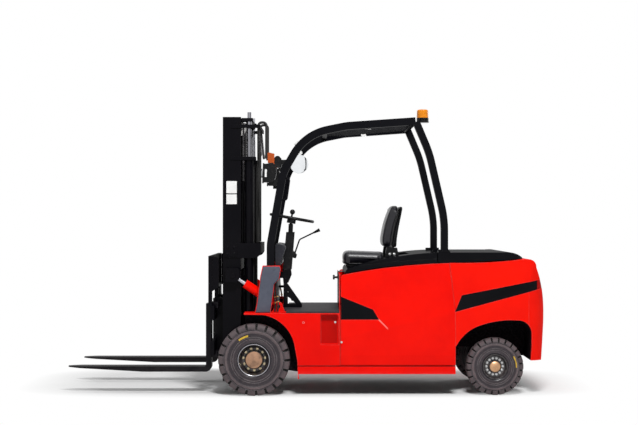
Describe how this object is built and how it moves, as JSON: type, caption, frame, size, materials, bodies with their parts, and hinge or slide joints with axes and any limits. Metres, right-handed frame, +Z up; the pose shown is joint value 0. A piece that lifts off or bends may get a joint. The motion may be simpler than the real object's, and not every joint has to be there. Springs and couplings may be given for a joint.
{
  "type": "electric counterbalance forklift truck",
  "caption": "Four-wheel electric counterbalance forklift with a two-stage lift mast, sliding forks and an overhead guard over the seat.",
  "frame": {"origin": "middle of the bounding box, on the ground under the wheels", "axes": "+X forward along the forks, +Y to the driver's left, +Z up"},
  "size_m": [3.9402, 1.15, 2.3583],
  "materials": {
    "body_paint": "gloss enamel",
    "black_paint": "satin enamel",
    "mast_paint": "satin enamel",
    "bare_steel": "worn",
    "chrome": "polished",
    "grey_plastic": "grained",
    "black_plastic": "grained",
    "mat_rubber": "ribbed",
    "tyre_rubber": "dusty",
    "rim_paint": "satin enamel",
    "seat_leather": "grained",
    "amber_lens": "clear",
    "red_lens": "clear",
    "lamp_black": "gloss",
    "mirror_glass": "polished",
    "battery_case": "satin enamel",
    "hose_black": "smooth"
  },
  "bodies": {
    "truck": {"chassis_frame": "body_paint", "floor_plate": "mat_rubber", "drive_axle": "black_paint", "steer_axle": "black_paint", "battery": "battery_case", "side_panels": "body_paint", "trim_inserts": "black_plastic", "counterweight": "body_paint", "counterweight_cover": "black_plastic", "tail_lamps": "red_lens", "tow_pin": "bare_steel", "guard_left": "black_paint", "guard_right": "black_paint", "guard_roof": "black_paint", "beacon_base": "lamp_black", "beacon_lens": "amber_lens", "head_lamps": "lamp_black", "front_indicators": "amber_lens", "mirror": "mirror_glass", "grab_handle": "black_paint", "pillar_covers": "grey_plastic", "cowl": "grey_plastic", "column_bracket": "black_paint", "steering_column": "black_plastic", "control_levers": "black_plastic", "pedals": "black_paint", "tilt_pins": "bare_steel"},
    "hood_body": {"hood": "black_plastic", "hood_latch": "bare_steel", "seat_base": "grey_plastic", "seat_cushion": "seat_leather", "seat_back": "seat_leather"},
    "hand_wheel": {"steering_wheel": "black_plastic"},
    "mast_outer": {"outer_mast": "mast_paint", "lift_barrels": "mast_paint", "mast_hoses": "hose_black"},
    "mast_inner": {"inner_mast": "mast_paint", "lift_rods": "chrome", "chain_sheaves": "bare_steel", "lift_chains": "bare_steel"},
    "carriage": {"fork_carriage": "mast_paint", "load_backrest": "mast_paint"},
    "fork_left": {"fork_left": "black_paint"},
    "tilt_barrel_left": {"tilt_barrel_left": "body_paint"},
    "tilt_rod_left": {"tilt_rod_left": "chrome"},
    "front_wheel_left": {"front_tyre_left": "tyre_rubber", "front_rim_left": "rim_paint"},
    "knuckle_left": {"knuckle_left": "black_paint"},
    "rear_wheel_left": {"rear_tyre_left": "tyre_rubber", "rear_rim_left": "rim_paint"},
    "fork_right": {"fork_right": "black_paint"},
    "tilt_barrel_right": {"tilt_barrel_right": "body_paint"},
    "tilt_rod_right": {"tilt_rod_right": "chrome"},
    "front_wheel_right": {"front_tyre_right": "tyre_rubber", "front_rim_right": "rim_paint"},
    "knuckle_right": {"knuckle_right": "black_paint"},
    "rear_wheel_right": {"rear_tyre_right": "tyre_rubber", "rear_rim_right": "rim_paint"}
  },
  "joints": [
    {"name": "mast_tilt", "type": "hinge", "parent": "truck", "child": "mast_outer", "pos_m": [0.423, 0, 0.294], "axis": [0, 1, 0], "range_deg": [-6, 6]},
    {"name": "mast_lift", "type": "slide", "parent": "mast_outer", "child": "mast_inner", "axis": [0, 0, 1], "range_m": [-0.065, 1.4], "deforming": ["lift_chains"]},
    {"name": "carriage_lift", "type": "slide", "parent": "mast_inner", "child": "carriage", "axis": [0, 0, 1], "range_m": [-0.065, 1.4]},
    {"name": "hood_hinge", "type": "hinge", "parent": "truck", "child": "hood_body", "pos_m": [-1.069, 0, 1.178], "axis": [0, -1, 0], "range_deg": [0, 60]},
    {"name": "hand_wheel_turn", "type": "hinge", "parent": "truck", "child": "hand_wheel", "pos_m": [0.125, 0, 1.455], "axis": [-0.1736, 0, 0.9848], "continuous": true},
    {"name": "fork_slide_left", "type": "slide", "parent": "carriage", "child": "fork_left", "axis": [0, 1, 0], "range_m": [-0.06, 0.05]},
    {"name": "tilt_pivot_left", "type": "hinge", "parent": "truck", "child": "tilt_barrel_left", "pos_m": [0.224, 0.392, 0.723], "axis": [0, 1, 0], "range_deg": [-6.99, 6.99]},
    {"name": "tilt_stroke_left", "type": "slide", "parent": "tilt_barrel_left", "child": "tilt_rod_left", "axis": [0.8321, 0, 0.5547], "range_m": [-0.0488, 0.0488]},
    {"name": "front_spin_left", "type": "hinge", "parent": "truck", "child": "front_wheel_left", "pos_m": [0.423, 0.49, 0.294], "axis": [0, 1, 0], "continuous": true},
    {"name": "steer_left", "type": "hinge", "parent": "truck", "child": "knuckle_left", "pos_m": [-1.553, 0.372, 0.235], "axis": [0, 0, 1], "range_deg": [-60, 60]},
    {"name": "rear_spin_left", "type": "hinge", "parent": "knuckle_left", "child": "rear_wheel_left", "pos_m": [-1.553, 0.464, 0.235], "axis": [0, 1, 0], "continuous": true},
    {"name": "fork_slide_right", "type": "slide", "parent": "carriage", "child": "fork_right", "axis": [0, -1, 0], "range_m": [-0.06, 0.05]},
    {"name": "tilt_pivot_right", "type": "hinge", "parent": "truck", "child": "tilt_barrel_right", "pos_m": [0.224, -0.392, 0.723], "axis": [0, 1, 0], "range_deg": [-6.99, 6.99]},
    {"name": "tilt_stroke_right", "type": "slide", "parent": "tilt_barrel_right", "child": "tilt_rod_right", "axis": [0.8321, 0, 0.5547], "range_m": [-0.0488, 0.0488]},
    {"name": "front_spin_right", "type": "hinge", "parent": "truck", "child": "front_wheel_right", "pos_m": [0.423, -0.49, 0.294], "axis": [0, 1, 0], "continuous": true},
    {"name": "steer_right", "type": "hinge", "parent": "truck", "child": "knuckle_right", "pos_m": [-1.553, -0.372, 0.235], "axis": [0, 0, 1], "range_deg": [-60, 60]},
    {"name": "rear_spin_right", "type": "hinge", "parent": "knuckle_right", "child": "rear_wheel_right", "pos_m": [-1.553, -0.464, 0.235], "axis": [0, 1, 0], "continuous": true}
  ],
  "couplings": [
    {"joint": "carriage_lift", "follows": "mast_lift", "ratio": 1},
    {"joint": "tilt_pivot_left", "follows": "mast_tilt", "ratio": 1.1652},
    {"joint": "tilt_stroke_left", "follows": "mast_tilt", "m_per_rad": 0.466},
    {"joint": "tilt_pivot_right", "follows": "mast_tilt", "ratio": 1.1652},
    {"joint": "tilt_stroke_right", "follows": "mast_tilt", "m_per_rad": 0.466},
    {"joint": "steer_right", "follows": "steer_left", "ratio": 1}
  ]
}
